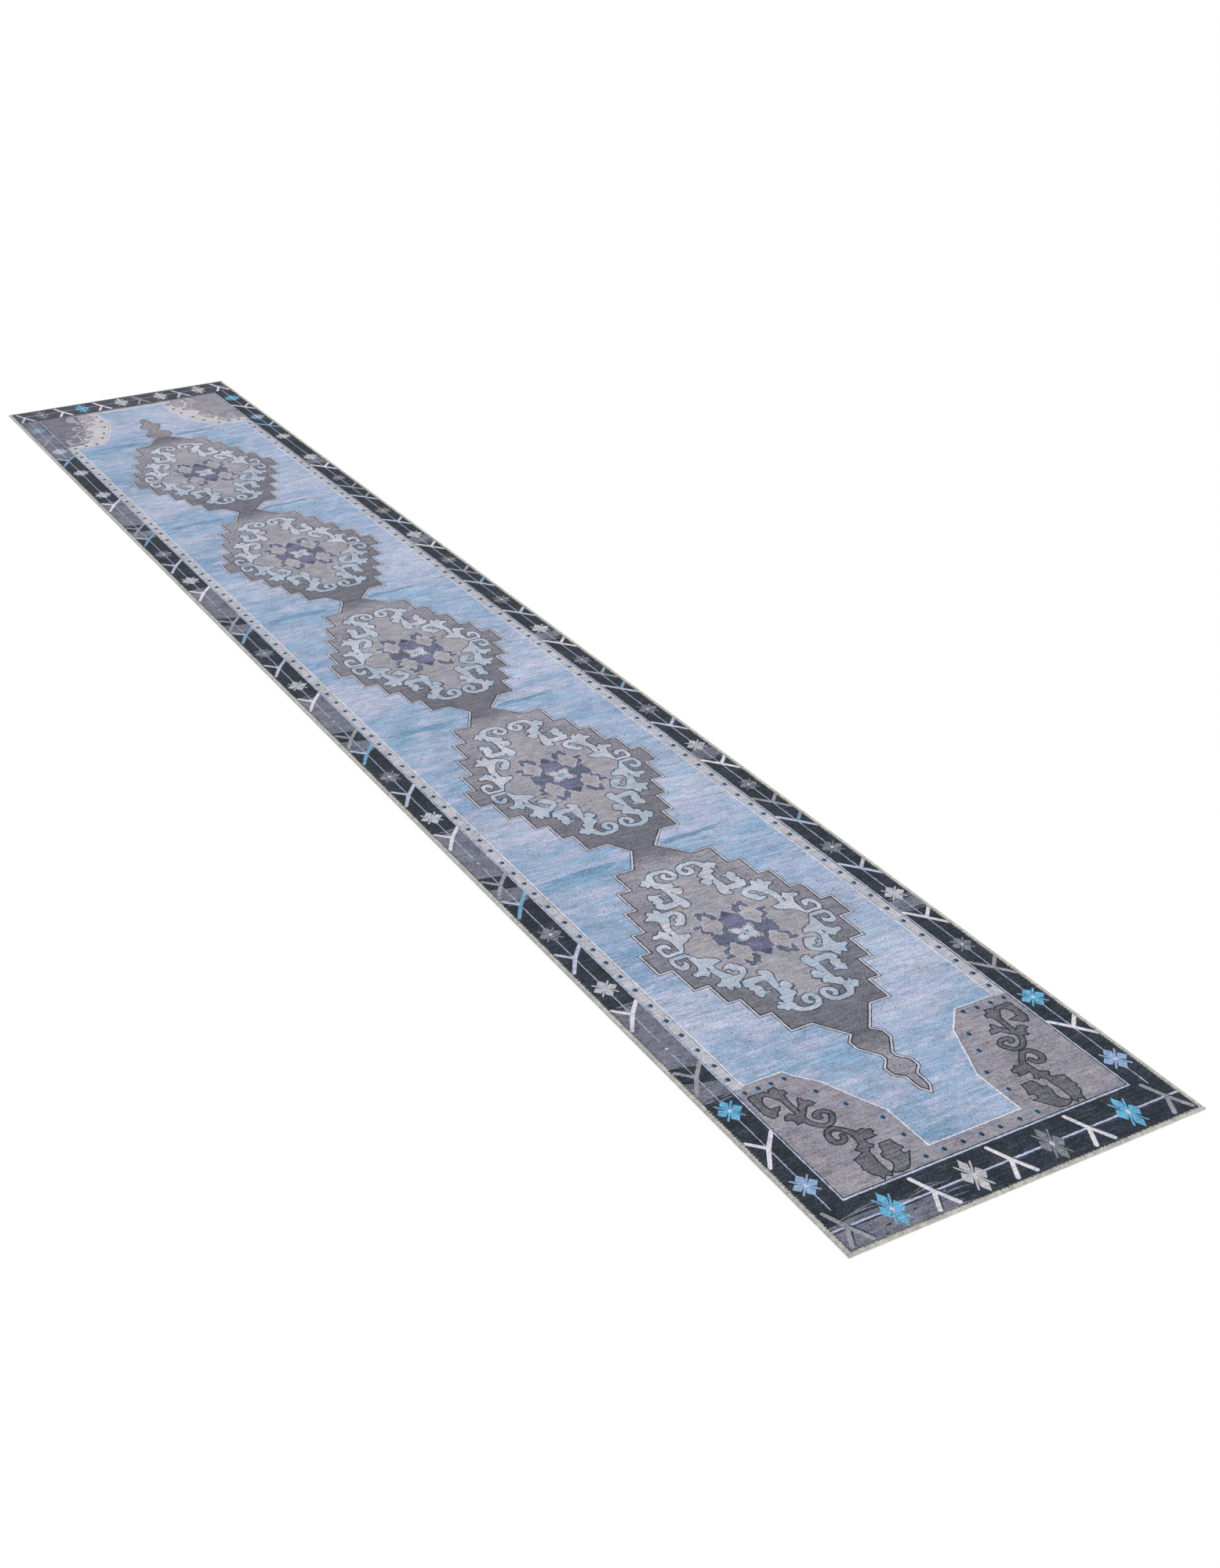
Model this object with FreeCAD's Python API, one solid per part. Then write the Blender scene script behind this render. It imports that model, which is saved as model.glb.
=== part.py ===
import FreeCAD, Part
import os

# Runner rug, 2 ft 6 in by 16 ft, in millimetres.
# A printed face cloth is bonded to a woven backing cloth. The four raw edges of
# that laminate are overcast in thick yarn, one run to a side, and each run is
# locked down by a needle thread along its inner edge.
# Frame: X across the width, Y along the length, Z up. The origin is the centre
# of the underside, which lies flat on the floor.

# Overall size, over the yarn
rug_width = 762.0
rug_length = 4876.8
edge_height = 5.0

# Layers, counted upwards from the floor
backing_top = 1.5
bond_top = 1.9
face_top = 4.5

# Overcast edge: how far the yarn reaches in over the cloth, and how thick it is
# above, below and outside the cloth it squeezes
band_width = 9.5
yarn_layer = 0.9
yarn_wall = 1.2
yarn_nose_radius = 1.8
corner_radius = 3.0

# Needle thread that locks the yarn down
thread_width = 0.8
thread_height = 0.4


def slab(width, length, bottom, top):
    """A plate centred on the rug, between two heights."""
    corner = FreeCAD.Vector(-width / 2, -length / 2, bottom)
    return Part.makeBox(width, length, top - bottom, corner)


def prism(outline, bottom, top):
    """A plan outline, given as (x, y) corners, raised between two heights."""
    corners = [FreeCAD.Vector(x, y, bottom) for x, y in outline]
    face = Part.Face(Part.makePolygon(corners + corners[:1]))
    return face.extrude(FreeCAD.Vector(0, 0, top - bottom))


def layer(bottom, top):
    """One cloth layer, squeezed between the yarn above and below at its margin."""
    open_part = slab(rug_width - 2 * band_width, rug_length - 2 * band_width, bottom, top)
    margin = slab(
        rug_width - 2 * yarn_wall,
        rug_length - 2 * yarn_wall,
        max(bottom, yarn_layer),
        min(top, edge_height - yarn_layer),
    )
    return open_part.fuse(margin).removeSplitter()


def yarn_ring():
    """The whole overcast edge: a rounded frame with the cloth's margin inside it."""
    ring = slab(rug_width, rug_length, 0, edge_height)
    upright = [edge for edge in ring.Edges if edge.BoundBox.ZLength > edge_height / 2]
    ring = ring.makeFillet(corner_radius, upright)
    level = [edge for edge in ring.Edges if edge.BoundBox.ZLength < edge_height / 2]
    ring = ring.makeFillet(yarn_nose_radius, level)
    ring = ring.cut(slab(rug_width - 2 * band_width, rug_length - 2 * band_width, 0, edge_height))
    return ring.cut(
        slab(
            rug_width - 2 * yarn_wall,
            rug_length - 2 * yarn_wall,
            yarn_layer,
            edge_height - yarn_layer,
        )
    )


def mitred_sides():
    """Plan outlines that part the ring into four runs, meeting at the corners on 45 degrees."""
    half_x = rug_width / 2
    half_y = rug_length / 2
    reach = rug_width / 2
    right = [
        (half_x, -half_y),
        (half_x, half_y),
        (half_x - reach, half_y - reach),
        (half_x - reach, -half_y + reach),
    ]
    far = [(-half_x, half_y), (half_x, half_y), (0, half_y - reach)]
    return {
        "right": right,
        "left": [(-x, y) for x, y in right],
        "far": far,
        "near": [(x, -y) for x, y in far],
    }


def needle_threads():
    """Threads lying on the face along the yarn's inner edge; the end ones butt between the sides."""
    inner_x = rug_width / 2 - band_width
    inner_y = rug_length / 2 - band_width
    top = face_top + thread_height
    side = Part.makeBox(
        thread_width,
        2 * inner_y,
        top - face_top,
        FreeCAD.Vector(inner_x - thread_width, -inner_y, face_top),
    )
    end = Part.makeBox(
        2 * (inner_x - thread_width),
        thread_width,
        top - face_top,
        FreeCAD.Vector(-inner_x + thread_width, inner_y - thread_width, face_top),
    )
    return {
        "right": side,
        "left": side.mirror(FreeCAD.Vector(0, 0, 0), FreeCAD.Vector(1, 0, 0)),
        "far": end,
        "near": end.mirror(FreeCAD.Vector(0, 0, 0), FreeCAD.Vector(0, 1, 0)),
    }


def build():
    """Every piece of the rug, by node name."""
    pieces = {
        "backing_cloth": layer(0, backing_top),
        "bond_coat": layer(backing_top, bond_top),
        "face_cloth": layer(bond_top, face_top),
    }
    ring = yarn_ring()
    for side, outline in mitred_sides().items():
        pieces["edge_yarn_" + side] = ring.common(prism(outline, 0, edge_height))
    for side, thread in needle_threads().items():
        pieces["needle_thread_" + side] = thread
    return pieces


os.makedirs("parts", exist_ok=True)
for node, shape in build().items():
    shape.exportStep("parts/" + node + ".step")
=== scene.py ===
import math
import random

import bpy
import numpy as np
from mathutils import Matrix, Vector
from mathutils.geometry import delaunay_2d_cdt


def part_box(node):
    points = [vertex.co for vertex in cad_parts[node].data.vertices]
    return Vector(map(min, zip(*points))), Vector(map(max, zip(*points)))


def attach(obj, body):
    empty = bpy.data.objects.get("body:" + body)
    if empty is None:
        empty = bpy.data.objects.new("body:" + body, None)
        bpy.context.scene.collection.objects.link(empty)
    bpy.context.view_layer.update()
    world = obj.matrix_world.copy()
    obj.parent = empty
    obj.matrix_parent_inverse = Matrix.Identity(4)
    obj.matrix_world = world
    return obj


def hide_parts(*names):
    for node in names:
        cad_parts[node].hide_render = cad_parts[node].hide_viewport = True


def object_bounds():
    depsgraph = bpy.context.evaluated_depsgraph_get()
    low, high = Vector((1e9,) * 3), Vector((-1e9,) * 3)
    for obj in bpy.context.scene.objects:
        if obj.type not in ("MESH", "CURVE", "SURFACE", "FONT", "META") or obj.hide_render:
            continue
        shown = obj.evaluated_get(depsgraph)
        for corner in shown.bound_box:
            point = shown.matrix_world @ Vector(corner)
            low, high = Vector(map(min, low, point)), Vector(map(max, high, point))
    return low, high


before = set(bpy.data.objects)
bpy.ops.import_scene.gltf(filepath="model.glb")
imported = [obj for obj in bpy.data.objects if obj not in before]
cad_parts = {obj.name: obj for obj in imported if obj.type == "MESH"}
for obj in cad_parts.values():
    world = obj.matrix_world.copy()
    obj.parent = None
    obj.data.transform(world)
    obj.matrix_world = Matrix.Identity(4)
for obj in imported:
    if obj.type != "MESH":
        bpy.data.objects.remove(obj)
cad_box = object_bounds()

# The rug lies with X across, Y along and Z up. Lengths are in millimetres until a
# mesh is made, and MM turns them into metres.
MM = 0.001
rng = random.Random(7)

# ---------------------------------------------------------------- sizes

def box_mm(node):
    low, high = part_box(node)
    return [x / MM for x in low], [x / MM for x in high]


rug_half_x, rug_half_y, rug_top = [x / MM for x in cad_box[1]]
face_half_x, face_half_y, face_top = box_mm("face_cloth")[1]
face_bottom = box_mm("bond_coat")[1][2]
backing_top = box_mm("bond_coat")[0][2]
band_edge_x = box_mm("needle_thread_right")[1][0]
band_width = rug_half_x - band_edge_x

# ---------------------------------------------------------------- colours

PAINT = {
    "border": (38, 47, 58),
    "border_worn": (113, 116, 131),
    "border_far": (66, 70, 81),
    "line_shade": (54, 57, 84),
    "border_line": (158, 168, 194),
    "end_line": (182, 188, 214),
    "inner_line": (178, 186, 212),
    "guard": (183, 183, 192),
    "bracket": (146, 143, 154),
    "far_bracket": (118, 117, 129),
    "far_band": (196, 191, 197),
    "far_vine": (164, 160, 169),
    "far_pendant": (142, 137, 145),
    "field": (156, 176, 203),
    "field_deep": (114, 150, 182),
    "field_edge": (216, 214, 224),
    "field_fleck": (106, 126, 158),
    "ground": (120, 119, 130),
    "ground_inner": (156, 154, 163),
    "ink": (48, 50, 66),
    "outline_light": (194, 192, 202),
    "pale": (184, 190, 203),
    "pale_low": (172, 182, 198),
    "scroll_ink": (66, 78, 98),
    "sky": (150, 184, 212),
    "slate": (96, 102, 124),
    "purple": (109, 109, 139),
    "petal_tip": (74, 80, 106),
    "beige": (164, 160, 168),
    "blossom_edge": (190, 188, 200),
    "white": (204, 202, 208),
    "rosette_heart": (186, 188, 200),
    "core": (116, 160, 188),
    "vine": (102, 102, 110),
    "vine_ink": (34, 38, 56),
    "star_cyan": (100, 170, 208),
    "star_haze": (126, 152, 184),
    "star_lilac": (140, 166, 204),
    "star_beige": (184, 183, 190),
    "star_grey": (122, 125, 135),
    "fork_white": (216, 214, 222),
    "fork_lilac": (182, 184, 208),
    "fork_cyan": (112, 160, 190),
    "fork_grey": (148, 148, 156),
    "dot": (46, 58, 80),
    "dot_halo": (112, 150, 176),
}

# Colours along one repeat, from the middle of one neck to the next
FIELD_LEFT = [
    (0.00, (150, 171, 197)), (0.10, (140, 166, 194)), (0.15, (154, 172, 198)), (0.20, (174, 183, 206)),
    (0.36, (172, 184, 206)), (0.42, (138, 163, 192)), (0.52, (130, 158, 187)), (0.60, (122, 154, 185)),
    (0.66, (144, 168, 195)), (0.72, (138, 164, 192)), (0.84, (160, 176, 200)), (0.95, (132, 163, 192)),
]
FIELD_RIGHT = [
    (0.00, (158, 177, 202)), (0.05, (174, 182, 205)), (0.10, (158, 174, 202)), (0.20, (178, 188, 209)),
    (0.36, (166, 183, 206)), (0.46, (156, 174, 200)), (0.60, (158, 176, 202)), (0.71, (150, 170, 199)),
    (0.76, (158, 176, 202)), (0.81, (136, 166, 197)), (0.90, (155, 176, 202)), (0.95, (146, 173, 202)),
]
GROUND_RAMP = [
    (0.00, (104, 104, 115)), (0.12, (110, 110, 121)), (0.30, (118, 118, 128)), (0.50, (126, 125, 136)),
    (0.72, (140, 138, 148)), (0.92, (148, 146, 156)), (0.98, (112, 112, 122)),
]

# ---------------------------------------------------------------- drawing

# Every outline below is moved by this much, across and along the rug, when it is painted
PRINT_OFFSET = (3.7, 0)
shapes = []


def paint(points, colour, shake=0.0):
    """Adds one filled outline, in millimetres, over all that is painted so far.

    shake makes its edge uneven.
    """
    shapes.append((np.array(points, dtype=float) + PRINT_OFFSET, colour, shake))


def curve(points, closed=True, step=4.5):
    """A smooth line through given points."""
    p = np.array(points, dtype=float)
    n = len(p)
    out = []
    spans = n if closed else n - 1
    for i in range(spans):
        if closed:
            a, b, c, d = p[i - 1], p[i], p[(i + 1) % n], p[(i + 2) % n]
        else:
            a, b, c, d = p[max(i - 1, 0)], p[i], p[i + 1], p[min(i + 2, n - 1)]
        parts = max(1, int(round(np.linalg.norm(c - b) / step)))
        for k in range(parts):
            t = k / parts
            square, cube = 2 * a - 5 * b + 4 * c - d, 3 * b - a - 3 * c + d
            out.append(0.5 * (2 * b + (c - a) * t + square * t**2 + cube * t**3))
    if not closed:
        out.append(p[-1])
    return np.array(out)


def stroke(points, widths, step=5.0):
    """The outline of a band along a smooth line, with a width at each point and rounded ends."""
    line = np.array([(x, y, w) for (x, y), w in zip(points, widths)], dtype=float)
    line = curve(line, closed=False, step=step)
    xy, half = line[:, :2], np.maximum(line[:, 2:], 0.6) / 2
    along = np.gradient(xy, axis=0)
    along /= np.linalg.norm(along, axis=1)[:, None]
    side = np.stack([-along[:, 1], along[:, 0]], axis=1)
    left, right = xy + side * half, xy - side * half
    start = xy[0] - along[0] * half[0] * 0.8
    end = xy[-1] + along[-1] * half[-1] * 0.8
    return np.vstack([left, [end], right[::-1], [start]])


def even_widths(points, width):
    return [width] * len(points)


def bar(a, b, width):
    """A straight square-ended bar."""
    a, b = np.array(a, dtype=float), np.array(b, dtype=float)
    along = (b - a) / np.linalg.norm(b - a)
    side = np.array([-along[1], along[0]]) * width / 2
    return np.array([a + side, b + side, b - side, a - side])


def grown(points, distance):
    """A closed outline moved outwards by a distance, with sharp corners."""
    p = np.array(points, dtype=float)
    nxt, prv = np.roll(p, -1, axis=0), np.roll(p, 1, axis=0)
    area = np.sum(p[:, 0] * nxt[:, 1] - nxt[:, 0] * p[:, 1])
    turn = 1.0 if area > 0 else -1.0
    e1, e2 = p - prv, nxt - p
    e1 /= np.linalg.norm(e1, axis=1)[:, None]
    e2 /= np.linalg.norm(e2, axis=1)[:, None]
    n1 = np.stack([e1[:, 1], -e1[:, 0]], axis=1) * turn
    n2 = np.stack([e2[:, 1], -e2[:, 0]], axis=1) * turn
    mitre = n1 + n2
    scale = 1.0 / np.maximum(0.35, 0.5 * np.sum(mitre * mitre, axis=1))
    return p + mitre * scale[:, None] * distance


def rectangle(x0, y0, x1, y1):
    return [(x0, y0), (x1, y0), (x1, y1), (x0, y1)]


def outlined(group, fill, line, width, shake=0.0):
    """Several outlines as one motif: a line round their union, then the fill."""
    for points in group:
        paint(grown(points, width), line, shake)
    for points in group:
        paint(points, fill, shake)


# ---------------------------------------------------------------- the repeat

# The design's own axis, the length of one repeat, and the height of the middle medallion's centre
AXIS = -5.0
REPEAT = 777.6
MIDDLE = -21.0
MEDALLIONS = (-2, -1, 0, 1, 2)


def along_rug(v):
    """Where a height in the even design falls on the rug: the print opens a little towards the far end."""
    k = v / REPEAT
    return MIDDLE + v + 3.1 * k * k


def straight(u, v):
    return v


def stem_pull(u, v):
    """The lower end's stems are shorter than the upper end's, most of all on the axis side."""
    shift = 12.5 + 10 * min(1.0, max(0.0, (112 - u) / 25))
    return v - shift * min(1.0, max(0.0, (v - 62) / 34))


def body_pull(u, v):
    return v - 19 + 6 * min(1.0, max(0.0, (v - 180) / 110))


def placed(points, k, mirror=1, upper=True, pull=straight):
    """Points of one quarter of medallion k, (u out from the axis, v away from the centre), on the rug."""
    return [(AXIS + mirror * u, along_rug(k * REPEAT + (v if upper else -pull(u, v)))) for u, v in points]


LOWER_STEPS = [
    (228, -40), (197.5, -40), (197.5, -120), (165.5, -120), (165.5, -190),
    (138, -190), (138, -258), (112, -258), (112, -326), (66, -326),
]
UPPER_STEPS = [
    (228, 36), (203, 36), (203, 107), (175, 107), (175, 187),
    (149, 187), (149, 260), (119, 260), (119, 332), (72, 332),
]
NECK = (29, 399)
NECK_SHIFT = -7
PENDANT = [
    (21, -1949), (38, -1968), (38, -1991), (12, -2031), (12, -2043), (29.5, -2064),
    (29.5, -2086), (12.5, -2104), (12.5, -2126), (11, -2142), (0, -2161),
]
PENDANT_SHIFT = -3


def chain_side(side):
    """One side of the whole chain of medallions, from the near tip to the far tip."""
    pts = [(AXIS + PENDANT_SHIFT + side * u, y) for u, y in reversed(PENDANT)]
    for k in MEDALLIONS:
        base = k * REPEAT
        for u, v in reversed(LOWER_STEPS):
            pts.append((AXIS + side * u, along_rug(base + v)))
        for u, v in UPPER_STEPS:
            pts.append((AXIS + side * u, along_rug(base + v)))
        if k != MEDALLIONS[-1]:
            pts.append((AXIS + NECK_SHIFT + side * NECK[0], along_rug(base + NECK[1])))
    far_neck = along_rug(MEDALLIONS[-1] * REPEAT + NECK[1])
    for u, y in PENDANT:
        pts.append((AXIS + PENDANT_SHIFT + side * u, far_neck + (PENDANT[0][1] - y) * 0.97))
    return pts


def chain():
    right = chain_side(1)
    left = chain_side(-1)
    outline = right + left[::-1][1:-1]
    for distance, colour in ((4.0, "ink"), (2.2, "outline_light"), (-1.7, "ink"), (-4.6, "ground")):
        paint(grown(outline, distance), colour)


def far_pendant():
    """The far pendant is paler than the rest, and its inner line is worn away."""
    outline = chain_side(1)[-len(PENDANT):] + chain_side(-1)[-len(PENDANT):][::-1][1:]
    paint(grown(outline, 1.6), "scroll_ink")
    paint(grown(outline, 0.2), "far_pendant")


# One quarter of a medallion's leafy scrolls, u out from the axis, v away from the centre
SCROLL = ([(150, 6), (165, 6), (179, 7), (184, 17), (184, 33), (178, 43), (168, 42), (163, 34), (163, 27)],
          [12, 13, 11, 9, 9, 13, 15, 10, 4])
SHOULDER = [
    (150, 2), (143, 10), (138, 20), (133, 29), (126, 34), (118, 35), (114, 41), (106, 43), (102, 48),
    (100, 59), (110, 60), (116, 63), (122, 64), (137, 82), (140, 86), (144, 91), (148, 97), (152, 92),
    (157, 86), (169, 85), (174, 75), (168, 70), (160, 71), (156, 67), (152, 60), (149, 50), (149, 12),
]
STEM = [
    (122, 58), (122, 95), (118, 104), (113, 113), (109, 121), (106, 129), (98, 134), (92, 136), (87, 132),
    (86, 126), (92, 121), (99, 118), (99, 109), (104, 104), (109, 103), (110, 96), (100, 93), (92, 91),
    (86, 97), (80, 106), (76, 114), (72, 124), (73, 134), (80, 143), (88, 149), (97, 151), (109, 151),
    (110, 160), (114, 168), (119, 170), (123, 165), (125, 157), (127, 163), (131, 168), (136, 168),
    (139, 160), (138, 153), (146, 149), (153, 143), (150, 137), (140, 135), (133, 129), (131, 123),
    (134, 111), (137, 98), (137, 82), (141, 60),
]
BODY = [
    (46, 146), (54, 143.5), (60, 147), (59, 153), (58, 160), (61, 163), (65, 159), (72, 157.5), (84, 157),
    (97, 158), (103, 163), (107, 172), (108, 181), (104, 188), (105, 194), (100, 197), (101, 204),
    (105, 206), (104, 213), (102, 219), (98, 225), (93, 222), (88, 217), (74, 216), (73, 212), (82, 210),
    (81, 204), (81, 190), (84, 187), (87, 184), (87, 178), (64, 178), (62, 185), (61, 200), (60, 215),
    (62, 236), (70, 238), (72, 241), (71, 255), (75, 256), (78, 251), (84, 250), (83, 260), (88, 258),
    (93, 266), (90, 271), (85, 273), (81, 283), (76, 281), (68, 278), (63, 281), (58, 276), (59, 264),
    (52, 256), (40, 245), (32, 241), (31, 237), (37, 227), (26, 222), (24, 215), (27, 205), (31, 198),
    (37, 196), (42, 199), (47, 206), (45, 190), (41, 180), (38, 168), (37, 158), (40, 151),
]
SPIRAL = ([(66, 268), (60, 285), (50, 294), (36, 295), (22, 293), (12, 284), (9, 272), (12, 262), (20, 257),
           (29, 262), (33, 271), (30, 279), (25, 281)],
          [18, 15, 13, 13, 13, 12, 12, 11, 11, 12, 12, 12, 8])
SCROLL_MARKS = (
    ([(135.5, 66), (136, 77)], 4, straight),
    ([(48, 206), (50, 212)], 3, body_pull),
    ([(23, 221), (30, 222.5), (37, 227)], 3, body_pull),
    ([(108, 182), (103, 186)], 4, body_pull),
)

INNER_GROUND = [
    (0, 268), (36, 236), (48, 190), (60, 170), (96, 150), (122, 100), (132, 45), (156, 8), (156, 0),
]

# One quarter of the rosette in a medallion's middle, which lies a little above the medallion's centre
ROSETTE_RISE = 4
ROSETTE_HEART = [
    (0, 16), (6, 16), (7, 25), (11, 25), (12, 16), (14, 16), (14, 26), (18, 26), (20, 18), (23, 11),
    (20, 3), (20, 0),
]
PETAL_SIDE = [
    (19, 0), (24, 8), (31, 16), (28, 27), (24, 38), (31, 40), (37, 30), (44, 20), (53, 22), (58, 27),
    (66, 26), (64, 18), (70, 13), (68, 6), (71, 0),
]
PETAL_END = [(0, 21), (17, 24), (25, 33), (25, 46), (27, 54), (23, 66), (14, 72), (8, 71), (0, 74)]
PETAL_TIP = [(0, 69), (10, 71), (14, 75), (6, 86), (0, 94)]
BLOSSOM = [
    (46, 19), (53, 27), (56, 36), (64, 42), (68, 50), (62, 60), (60, 71), (53, 80), (46, 90), (39, 84),
    (37, 73), (31, 69), (26, 60), (27, 47), (32, 38), (38, 33), (41, 23),
]
BLOSSOM_VEINS = [[(45, 36), (46, 50), (46, 70)], [(36, 52), (46, 60)], [(57, 50), (46, 60)]]
TENDRIL_SIDE = [
    (58, 24), (64, 28), (66, 32), (71, 33), (74, 36), (78, 37), (79, 43), (77, 50), (73, 53), (78, 56),
    (84, 57), (86, 62), (84, 67), (76, 68), (64, 67), (62, 64), (66, 58), (69, 52), (68, 44), (63, 40),
    (58, 38), (56, 31),
]
TENDRIL_END = [
    (22, 72), (30, 70), (38, 69), (36, 76), (35, 82), (40, 86), (41, 93), (46, 95), (49, 91), (50, 83),
    (53, 76), (58, 82), (59, 90), (58, 96), (54, 100), (58, 103), (58, 108), (50, 112), (43, 107),
    (38, 102), (36, 108), (31, 107), (30, 100), (24, 94), (21, 86),
]


def four_ways():
    """The four quarters of a medallion: (mirror, upper)."""
    return [(1, True), (-1, True), (1, False), (-1, False)]


def medallion(k):
    middle_y = along_rug(k * REPEAT)
    for mirror, upper in four_ways():
        paint(placed(INNER_GROUND, k, mirror, upper) + [(AXIS, middle_y)], "ground_inner")
    for mirror, upper in four_ways():
        scrolls(k, mirror, upper)
    for mirror in (1, -1):
        a, b = placed([(148, 0), (186, 0)], k, mirror)
        paint(bar(a, b, 3.4), "scroll_ink")
    rosette(k)


def scrolls(k, mirror, upper):
    """The leafy scrolls of one quarter."""
    def put(points, pull):
        return placed(points, k, mirror, upper, pull)

    group = [put(SHOULDER, straight), put(STEM, stem_pull), put(BODY, body_pull),
             stroke(put(SCROLL[0], straight), SCROLL[1]), stroke(put(SPIRAL[0], body_pull), SPIRAL[1])]
    fill = "pale" if upper else "pale_low"
    outlined(group, fill, "scroll_ink", 2.7, 0.9)
    paint(bar(*put([(75, 213.5), (90, 213.5)], body_pull), 5), "sky")
    for points, width, pull in SCROLL_MARKS:
        paint(stroke(put(points, pull), even_widths(points, width)), "scroll_ink")


def rosette(k):
    def put(points, mirror, upper):
        shift = ROSETTE_RISE if upper else -ROSETTE_RISE
        return placed([(u, v + shift) for u, v in points], k, mirror, upper)

    def across(points, upper):
        """A shape that spans the axis, from its right half."""
        return put(points, 1, upper) + put(points, -1, upper)[::-1][1:-1]

    def beside(points, mirror):
        """A shape that spans the middle line, from its upper half."""
        return put(points, mirror, True) + put(points, mirror, False)[::-1][1:-1]

    for mirror in (1, -1):
        outlined([beside(PETAL_SIDE, mirror)], "slate", "petal_tip", 1.2, 1.2)
    for upper in (True, False):
        outlined([across(PETAL_END, upper)], "purple", "petal_tip", 1.2, 1.2)
        paint(across(PETAL_TIP, upper), "petal_tip")
    for mirror, upper in four_ways():
        for points in (TENDRIL_SIDE, TENDRIL_END):
            outlined([put(points, mirror, upper)], "slate", "blossom_edge", 1.1, 0.8)
        outlined([put(BLOSSOM, mirror, upper)], "beige", "blossom_edge", 1.5, 1.0)
        for vein in BLOSSOM_VEINS:
            paint(stroke(put(vein, mirror, upper), even_widths(vein, 2)), "bracket")
    halves = [across(ROSETTE_HEART, upper) for upper in (True, False)]
    paint(halves[0], "rosette_heart", 1.2)
    paint(halves[1], "rosette_heart", 1.2)
    heart(k)


def heart(k):
    """The small broken star in the rosette's middle."""
    x, y = AXIS, along_rug(k * REPEAT) + ROSETTE_RISE
    for turn in range(6):
        a = turn * math.pi / 3 + 0.5
        out = (x + 9 * math.cos(a), y + 13 * math.sin(a))
        colour = "core" if turn % 3 else "scroll_ink"
        paint(bar((x + 2 * math.cos(a), y + 3 * math.sin(a)), out, 3.4), colour)
    paint([(x - 4, y), (x, y - 5), (x + 4, y), (x, y + 5)], "sky")


# ---------------------------------------------------------------- borders

def star(x, y, half_w, half_h, colour, centre="white"):
    """Four broad lozenge petals that meet at a small centre, with a thin bar on each diagonal."""
    def at(u, v):
        return (x + u * half_w, y + v * half_h)

    for s in (-1, 1):
        petal = [(s, 0), (0.60 * s, 0.36), (0.10 * s, 0.03), (0.10 * s, -0.03), (0.60 * s, -0.36)]
        paint([at(u, v) for u, v in petal], colour)
        petal = [(0, s), (0.36, 0.60 * s), (0.03, 0.10 * s), (-0.03, 0.10 * s), (-0.36, 0.60 * s)]
        paint([at(u, v) for u, v in petal], colour)
    for s in (-1, 1):
        for t in (-1, 1):
            diagonal = [at(0.08 * s, 0.08 * t), at(0.68 * s, 0.72 * t)]
            paint(stroke(diagonal, even_widths(diagonal, 0.15 * half_w)), colour)
    paint([at(0.17, 0), at(0, 0.16), at(-0.17, 0), at(0, -0.16)], centre)


def fork(x, y, side, colour, arm_colour=None):
    """A three-armed fork of a long border: one long slanting stroke and one short arm."""
    foot = 38 if side > 0 else 47
    paint(stroke([(x - side * 31, y + 38), (x, y)], [8, 9]), colour)
    paint(stroke([(x, y), (x + side * 28, y - foot)], [9, 7.5]), colour)
    paint(stroke([(x + side * 29, y + 31), (x + side * 3, y + 3)], [8, 8]), arm_colour or colour)


def end_fork(x, y, colour):
    """A fork of an end border, standing across it, with a navy shade beside its legs."""
    for leg in (-21, 21):
        paint(stroke([(x + 5, y - 1), (x + leg + 5, y - 43)], [7, 6]), "line_shade")
    paint(stroke([(x - 17, y + 46), (x, y)], [8, 9]), colour)
    for leg in (-21, 21):
        paint(stroke([(x, y), (x + leg, y - 45)], [8, 9]), colour)


# The middles of the two long borders' motifs, and the borders' inner edges
RIGHT_X, LEFT_X = 339.5, -346.0
BORDER_IN_R, BORDER_IN_L = 308.0, -316.0
# The thin line down each long border, and the lines across the two end borders
LINE_HALF_WIDTH = 1.2
LINE_START_R, LINE_START_L, LINE_END = -2335, -2333, 2330
NEAR_SHADE = (-2385, -2380)
NEAR_STRIPE = (-2380.5, -2376)
FAR_STRIPE = (2383, 2386)
FAR_BORDER = 2326
# Where wear has taken the dark colour: in every repeat, and at the far left corner
WORN_RIGHT = (-92, -48)
WORN_LEFT = (-432, -105)
WORN_FAR_LEFT = (1900, 2330)
WORN_STREAKS = 9


def worn_band(x0, x1, y0, y1):
    """A worn stretch of border, broken into streaks at its two ends."""
    paint(rectangle(x0, y0, x1, y1), "border_worn")
    for y, out in ((y0, -1), (y1, 1)):
        for _ in range(WORN_STREAKS):
            a = rng.uniform(x0, x1 - 15)
            b = min(x1, a + rng.uniform(14, 50))
            c = y + out * rng.uniform(-3, 10)
            h = rng.uniform(1.2, 3)
            colour = "border_worn" if out * (c - y) > 0 else "border"
            paint([(a, c), ((a + b) / 2, c + h), (b, c + 0.3 * h), ((a + b) / 2, c - h)], colour)


def border_repeat(k):
    def at(v):
        return along_rug(k * REPEAT + v)

    right, left = (BORDER_IN_R, face_half_x), (-face_half_x, BORDER_IN_L)
    worn_band(*right, *[at(v) for v in WORN_RIGHT])
    worn_band(*left, *[at(v) for v in WORN_LEFT])
    paint([(left[0], at(-316)), (-345, at(-322)), (left[1], at(-334)), (left[1], at(-386)), (-350, at(-378)),
           (left[0], at(-366))], "border")


def full_width(y0, y1):
    return rectangle(-face_half_x, y0, face_half_x, y1)


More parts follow.
